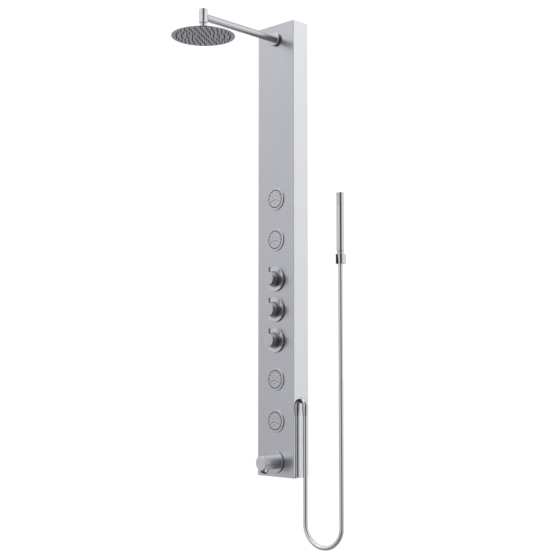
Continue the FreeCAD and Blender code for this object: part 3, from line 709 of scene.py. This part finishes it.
JET_FACE = 3.4  # the ball's flat face, in front of the panel
JET_DISC = 27.8  # the flat face's radius
JET_RIM = 0.5  # its rounded rim
RIM_MIDDLE = 0.15  # how far the rim's middle is cut back
JET_SEAT = 31.5  # the bezel's hollow that the ball turns in
JET_CENTRE = -6.0  # the ball's centre, behind the panel's front
JET_BALL = JET_SEAT - 0.4
JET_BALL_RISES = (3.5, 1.5, -1, -4, -7, -10, -13, -16, -18, -20)
JET_SEAT_RISES = (9, 7, 5, 3, 1, 0)
JET_HOLLOW = 20.5  # the hollow behind the face
JET_WALL = 4  # the face's thickness

JET_HOLE = 1.6
JET_HOLE_PITCH = 12
JET_HOLE_RINGS = 2
JET_HOLE_DEPTH = 3.2
GROOVE_RISE = -3.0
GROOVE_RADIUS = 27.4
GROOVE_SWEEP = math.radians(88)
GROOVE_WIDTH = 2.2
GROOVE_DEPTH = 1.5
GROOVE_CLEARANCE = 2.6  # between the groove's middle line and a hole's centre
DIMPLE_AT = (0, -14)
DIMPLE_RADIUS = 2.0
DIMPLE_DEPTH = 1.2
CUT_EDGE = 27.0  # all cuts lie nearer the middle than this
CUT_TOP, CUT_END = 0.15, 3  # the part of a cut, below the face, that is painted dark as shade

BEZEL_LIP = 31  # the bezel's opening
BEZEL_RING = [
    (JET_SEAT, -12), (34.5, -12), (34.5, 0),  # sleeve through the panel
    (38, 0), (38, 3, 0.9), (BEZEL_LIP, 3, 0.2),  # ring in front of it
]
TIP_RADIUS = JET_HOLE - 0.05
TIP_SINK = 3.1  # a tip's foot below the face
JET_TIP = [
    (0, 0), (TIP_RADIUS, 0), (TIP_RADIUS, 2.5, 0.2),
    (0.5, 2.8, 0.1), (0.45, 1.8), (0, 1.8),  # its small mouth
]
BALL_SIDE = 27.7  # faces further out than this are the ball's side
SHADOW_LEVEL = 2.9  # below this, the gap around the ball is painted black as shade


def jet_face_mesh():
    """The ball with its flat face: spray holes above a shallow arc, and one dimple below it."""
    cuts = [groove_cut(GROOVE_RISE, GROOVE_SWEEP, GROOVE_RADIUS, GROOVE_WIDTH, GROOVE_DEPTH)]
    holes = []
    for x, y in ring_spots(JET_HOLE_PITCH, JET_HOLE_RINGS):
        line = GROOVE_RISE - GROOVE_RADIUS + sphere_edge(GROOVE_RADIUS, x)
        if y > line + GROOVE_CLEARANCE:
            holes.append((x, y))
    cuts += [hole_cut(spot, JET_HOLE, JET_HOLE_DEPTH) for spot in holes]
    cuts.append(hole_cut(DIMPLE_AT, DIMPLE_RADIUS, DIMPLE_DEPTH))
    disc = pierced_disc(JET_DISC - JET_RIM, JET_FACE, cuts)
    skirt = spin([
        (JET_DISC - JET_RIM, JET_FACE),
        (JET_DISC - RIM_MIDDLE, JET_FACE - RIM_MIDDLE),
        (JET_DISC, JET_FACE - JET_RIM),
        (JET_DISC, JET_CENTRE + JET_BALL_RISES[0]),
        *[(sphere_edge(JET_BALL, rise), JET_CENTRE + rise) for rise in JET_BALL_RISES],
        (JET_HOLLOW, JET_CENTRE + JET_BALL_RISES[-1]),
        (JET_HOLLOW, JET_FACE - JET_WALL),
        (0, JET_FACE - JET_WALL),
    ], closed=False)
    vertices, faces = join_close(*merge([(*disc, UP), (*skirt, UP)]))
    return vertices, faces, holes


def from_axis(face, place):
    """A face's distance in mm from the axis of a part on the panel."""
    return math.hypot(face.center.x, face.center.z - place.translation.z) / MM


def out_of_panel(face):
    """A face's distance in mm in front of the panel."""
    return FRONT - face.center.y / MM


def make_jet(jet, vertices, faces, tips):
    """A jet's bezel, its ball and the soft tips in the ball's holes."""
    place = on_front(f"jet_bezel_{jet}")

    def seat_in_painted_shade(face):
        return from_axis(face, place) < BEZEL_LIP and out_of_panel(face) < SHADOW_LEVEL

    def ball_side_in_painted_shade(face):
        return from_axis(face, place) > BALL_SIDE and out_of_panel(face) < SHADOW_LEVEL

    def cut_in_painted_shade(face):
        below = JET_FACE - out_of_panel(face)
        return from_axis(face, place) < CUT_EDGE and CUT_TOP < below < CUT_END

    seat = [(sphere_edge(JET_SEAT, rise), JET_CENTRE + rise) for rise in JET_SEAT_RISES]
    bezel = lathe(f"jet_bezel_ring_{jet}", seat + BEZEL_RING, place, "root",
                  [f"jet_bezel_{jet}"], "fitting_steel", FRONT_STEEL, FINE_SEGMENTS)
    # The bezel's hollow seat is painted black as shade in the gap around the ball.
    second_finish(bezel, MATERIALS["black_plastic"], seat_in_painted_shade)
    placed, same = merge([(vertices, faces, place)])
    ball = new_piece(f"jet_face_{jet}", placed, same, f"jet_{jet}", [f"jet_nozzle_{jet}"],
                     FRONT_STEEL)
    # The ball's side in the gap is painted black as shade.
    second_finish(ball, MATERIALS["black_plastic"], ball_side_in_painted_shade)
    # The walls of the holes and the groove are painted dark as shade in the recesses.
    second_finish(ball, PAINTED_SHADE_STEEL, cut_in_painted_shade)
    placed, same = merge([(points, walls, place @ spot) for points, walls, spot in tips])
    new_piece(f"jet_tips_{jet}", placed, same, f"jet_{jet}", [],
              MATERIALS["grey_silicone"])


def make_jets():
    vertices, faces, holes = jet_face_mesh()
    tip = spin(JET_TIP, HOLE_SEGMENTS)
    tips = [(*tip, at(x, y, JET_FACE - TIP_SINK)) for x, y in holes]
    for jet in JETS:
        make_jet(jet, vertices, faces, tips)


# ---------------------------------------------------------------- knobs

KNOB_BASE = washer(17.5, 40, 0, 6, 1.0)
KNOB_COLLAR = washer(8, 27, 6, 9, 0.7)
KNOB_GRIP = [
    (0, 26), (4.05, 26), (4.05, 9.6),  # hole for the spindle
    (21, 9.6, 0.5), (21, 35, 0.9), (0, 35),
]
KNOB_PEG = [(0, 0), (3.2, 0), (3.2, 27, 0.9), (0, 27)]


def make_knobs():
    collars = []
    for valve in VALVES:
        place = on_front(f"knob_base_{valve}")
        base = lathe(f"knob_base_plate_{valve}", KNOB_BASE, place, "root",
                     [f"knob_base_{valve}"], "fitting_steel", segments=FINE_SEGMENTS)
        # The base's side walls are painted dark as shade.
        second_finish(base, PAINTED_SHADE_STEEL, is_wall)
        collars.append((*spin(KNOB_COLLAR, segments=112), place))
        grip = lathe(f"knob_grip_{valve}", KNOB_GRIP, place, f"knob_{valve}",
                     [f"knob_handle_{valve}"], "fitting_steel", FRONT_STEEL, FINE_SEGMENTS)
        # The grip's side walls are painted dark as shade.
        second_finish(grip, PAINTED_SHADE_GRIP_STEEL, is_wall)
        low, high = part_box(f"knob_pin_{valve}")
        foot = at(0, (low.y + high.y) / (2 * MM), low.z / MM)
        # The whole peg is painted dark as shade.
        lathe(f"knob_peg_{valve}", KNOB_PEG, foot, f"knob_{valve}", [f"knob_pin_{valve}"],
              "fitting_steel", PAINTED_SHADE_STEEL, segments=48)
    vertices, faces = merge(collars)
    # The collar rings between grip and base are painted dark as shade.
    new_piece("knob_collar_rings", vertices, faces, "root", ["knob_collars"],
              PAINTED_SHADE_STEEL)


# ---------------------------------------------------------------- rain head

HEAD_DOME = [
    (10.8, 27.5), (10.8, 16), (4, 16), (4, 11),  # socket for the ball, and the water's way in
    (16, 11), (98.8, 2.6), (98.8, 1.2),  # underside
    (100, 1.2), (100, 3, 0.7),  # rim
    (16, 14, 8), (11.9, 14.6, 2), (11.9, 27.5, 0.4),  # crown, and the socket's outside
]
NOZZLE_PITCH = 17
NOZZLE_RINGS = 5
NOZZLE_DROP = -4.5
NOZZLE = [
    (0, -3.6), (0.55, -3.6), (0.7, NOZZLE_DROP, 0.1),  # mouth
    (1.35, NOZZLE_DROP, 0.25), (1.8, -0.6, 0.2), (2.05, 0, 0.1),  # tapered outside
    (2.05, 1.2), (0, 1.2),  # root in the face plate
]
NOZZLE_MAT = [(0, 1.2), (96, 1.2), (96, 2.1, 0.3), (0, 2.1)]


def make_head():
    foot = at(0, middle("head_face_plate").y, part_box("head_face_plate")[0].z / MM)
    lathe("head_dome", HEAD_DOME, foot, "rain_head", ["head_top_shell"], "head_steel",
          segments=160)
    nozzle = spin(NOZZLE, segments=16)
    spots = [(0, 0)] + ring_spots(NOZZLE_PITCH, NOZZLE_RINGS, start=0)
    parts = [(*nozzle, foot @ at(x, y, 0)) for x, y in spots]
    vertices, faces = merge(parts + [(*spin(NOZZLE_MAT), foot)])
    new_piece("head_nozzles", vertices, faces, "rain_head", ["head_nozzle_mat"],
              MATERIALS["grey_silicone"])


# ---------------------------------------------------------------- flanges, spout and hose nuts

ARM_FLANGE = [(12.1, 0), (23, 0), (23, 9.5, 3.4), (12.1, 9.5, 0.4)]
SPOUT_FLANGE = washer(10.5, 36.5, 0, 5, 1.4)

AERATOR_REACH = 55.5
AERATOR_DROP = 30
AERATOR_RADIUS = 13.2
AERATOR_LENGTH = 17.5
AERATOR_TILT = math.radians(30)
INSERT_RADIUS = 10.8
INSERT_DEPTH = 2.4
RIB_RADII = (9, 6, 3)
RIB_WIDTH = 1
RIB_DEPTH = 0.7
MOUTH_END = INSERT_DEPTH + 1  # faces nearer the mouth than this are the insert's
MOUTH_RADIUS = INSERT_RADIUS + 0.05


def make_flange(node_name, piece_name, corners):
    """A flange on the panel whose rim is painted darker as shade. Returns its placement."""
    place = on_front(node_name)
    flange = lathe(piece_name, corners, place, "root", [node_name], "fitting_steel",
                   FRONT_STEEL, FINE_SEGMENTS)
    # The rim is painted dark as shade.
    second_finish(flange, PAINTED_SHADE_STEEL, is_wall)
    return place


def make_aerator(spout):
    """The chrome aerator that leans forward under the spout's end, and its black ribbed insert."""
    turn = Matrix.Rotation(-math.pi / 2 - AERATOR_TILT, 4, "X")
    place = spout @ at(0, -AERATOR_DROP, AERATOR_REACH, turn)
    ribs = []
    for outer in RIB_RADII:
        inner, bottom = outer - RIB_WIDTH, INSERT_DEPTH + RIB_DEPTH
        ribs += [(outer, INSERT_DEPTH), (outer, bottom), (inner, bottom), (inner, INSERT_DEPTH)]
    aerator = lathe("spout_aerator_tip", [
        (0, AERATOR_LENGTH), (AERATOR_RADIUS, AERATOR_LENGTH), (AERATOR_RADIUS, 0, 0.8),
        (INSERT_RADIUS, 0, 0.3), (INSERT_RADIUS, INSERT_DEPTH), *ribs, (0, INSERT_DEPTH),
    ], place, "root", ["spout_aerator"], "polished_chrome")
    to_mouth = place.inverted()

    def in_mouth(face):
        spot = to_mouth @ face.center / MM
        return spot.z < MOUTH_END and math.hypot(spot.x, spot.y) < MOUTH_RADIUS

    second_finish(aerator, MATERIALS["black_rubber"], in_mouth)


def make_nuts():
    """The nuts at the hose's two ends."""
    foot, top = foot_and_height("hose_nut_lower")
    outlet_nut = lathe("hose_nut_outlet", [
        (0, 0), (8, 0, 0.3), (8.6, 1.5, 0.3), (10.2, top - 9, 1),  # taper
        (10.2, top - 5, 0.2), (9.8, top - 4.8), (9.8, top - 4.2), (10.2, top - 4, 0.2),  # groove
        (10.2, top, 0.5), (0, top),
    ], foot, "root", ["hose_nut_lower"], "polished_chrome")
    foot, top = foot_and_height("hose_nut_upper")
    handset_nut = lathe("hose_nut_handset", [
        (0, 0), (8, 0, 0.3), (10.35, top - 1.4, 0.5), (9.8, top, 0.3), (0, top),
    ], foot, "hose_end", ["hose_nut_upper"], "polished_chrome")
    return [outlet_nut, handset_nut]


# ---------------------------------------------------------------- studio

FLOOR_LEVEL = -1.95
FLOOR_HALF = 40
KEY_AT = (-2.2, -3.2, 3.4)
KEY_AIM = (0, 0, -0.4)
KEY_SIZE = 2.6
KEY_POWER = 22
WHITE = 1.12  # the surroundings' strength, except in mirror images
BACK_RIGHT = (0.695, 0.719, 0.0)
BACK_RIGHT_TONES = (0.67, 0.84)  # at the front left and at the back right
RISE_TONES = (-0.34, 0.32)  # added to them, from low to high
RISE_RANGE = (-0.7, 0.7)
LOW_FRONT_SHADE = 0.5
LOW_FRONT_RANGE = (0.22, 0.45)
SCREEN_SIDE = (0.809, -0.588, 0.0)
SCREEN_SHADE = 0.07
SCREEN_RANGE = (0.80, 0.975)  # cosines of the angles at its edge and where it is darkest
FLATTEN = (1, 1, 0.3)  # makes the screen tall


def make_floor():
    """A white floor that metal does not mirror."""
    material, tree, shader = new_material("floor_paint", Roughness=0.9, Specular_IOR_Level=0.1)
    paint = blend_colours(tree, cloud_noise(tree, scale=3), (0.94, 0.94, 0.94), (0.95, 0.95, 0.95))
    tree.links.new(paint, shader.inputs["Base Color"])
    mesh = bpy.data.meshes.new("floor")
    corners = [(FLOOR_HALF * x, FLOOR_HALF * y, FLOOR_LEVEL)
               for x, y in ((-1, -1), (1, -1), (1, 1), (-1, 1))]
    mesh.from_pydata(corners, [], [(0, 1, 2, 3)])
    mesh.materials.append(material)
    floor = add_object("floor", mesh)
    floor.visible_glossy = False


def make_world():
    """Soft white surroundings. Metal sees them brighter to the back right and above, and sees a
    tall dark screen to the front right."""
    world = bpy.data.worlds.new("studio")
    bpy.context.scene.world = world
    world.use_nodes = True
    tree = world.node_tree
    background = tree.nodes["Background"]
    direction = tree.nodes.new("ShaderNodeTexCoord").outputs["Generated"]

    across = spread(tree, along(tree, direction, BACK_RIGHT), *BACK_RIGHT_TONES, -1, 1)
    above = spread(tree, along(tree, direction, (0, 0, 1)), *RISE_TONES, *RISE_RANGE)
    level = combine(tree, "ADD", across, above)
    # The front is darker low down, which shades the undersides of the knobs and the spout.
    low_front = combine(
        tree, "MULTIPLY", along(tree, direction, (0, -1, 0)), along(tree, direction, (0, 0, -1)))
    shade = spread(tree, low_front, 1, LOW_FRONT_SHADE, *LOW_FRONT_RANGE)
    level = combine(tree, "MULTIPLY", level, shade)
    flat = node(tree, "ShaderNodeVectorMath", operation="MULTIPLY")
    tree.links.new(direction, flat.inputs[0])
    flat.inputs[1].default_value = FLATTEN
    flat_direction = node(tree, "ShaderNodeVectorMath", operation="NORMALIZE")
    tree.links.new(flat.outputs["Vector"], flat_direction.inputs[0])
    towards = along(tree, flat_direction.outputs["Vector"], SCREEN_SIDE)
    screen = spread(tree, towards, 1, SCREEN_SHADE, *SCREEN_RANGE)
    level = combine(tree, "MULTIPLY", level, screen)

    glossy = tree.nodes.new("ShaderNodeLightPath").outputs["Is Glossy Ray"]
    background.inputs["Color"].default_value = (1, 1, 1, 1)
    tree.links.new(mix(tree, glossy, WHITE, level), background.inputs["Strength"])


def make_key_light():
    data = bpy.data.lights.new("key", "AREA")
    data.shape = "RECTANGLE"
    data.size = data.size_y = KEY_SIZE
    data.energy = KEY_POWER
    lamp = add_object("key", data)
    lamp.location = KEY_AT
    look_along(lamp, Vector(KEY_AIM) - Vector(KEY_AT))


def make_studio():
    make_floor()
    make_world()
    make_key_light()
    settings = bpy.context.scene.view_settings
    settings.view_transform = "Standard"
    settings.look = "None"


# ---------------------------------------------------------------- assembly

make_camera()
paint_cad_nodes()
make_jets()
make_knobs()
make_head()
make_flange("arm_flange", "arm_flange_cover", ARM_FLANGE)
make_aerator(make_flange("spout_flange", "spout_flange_plate", SPOUT_FLANGE))
nuts = make_nuts()
hose, hose_path = make_hose()
make_studio()
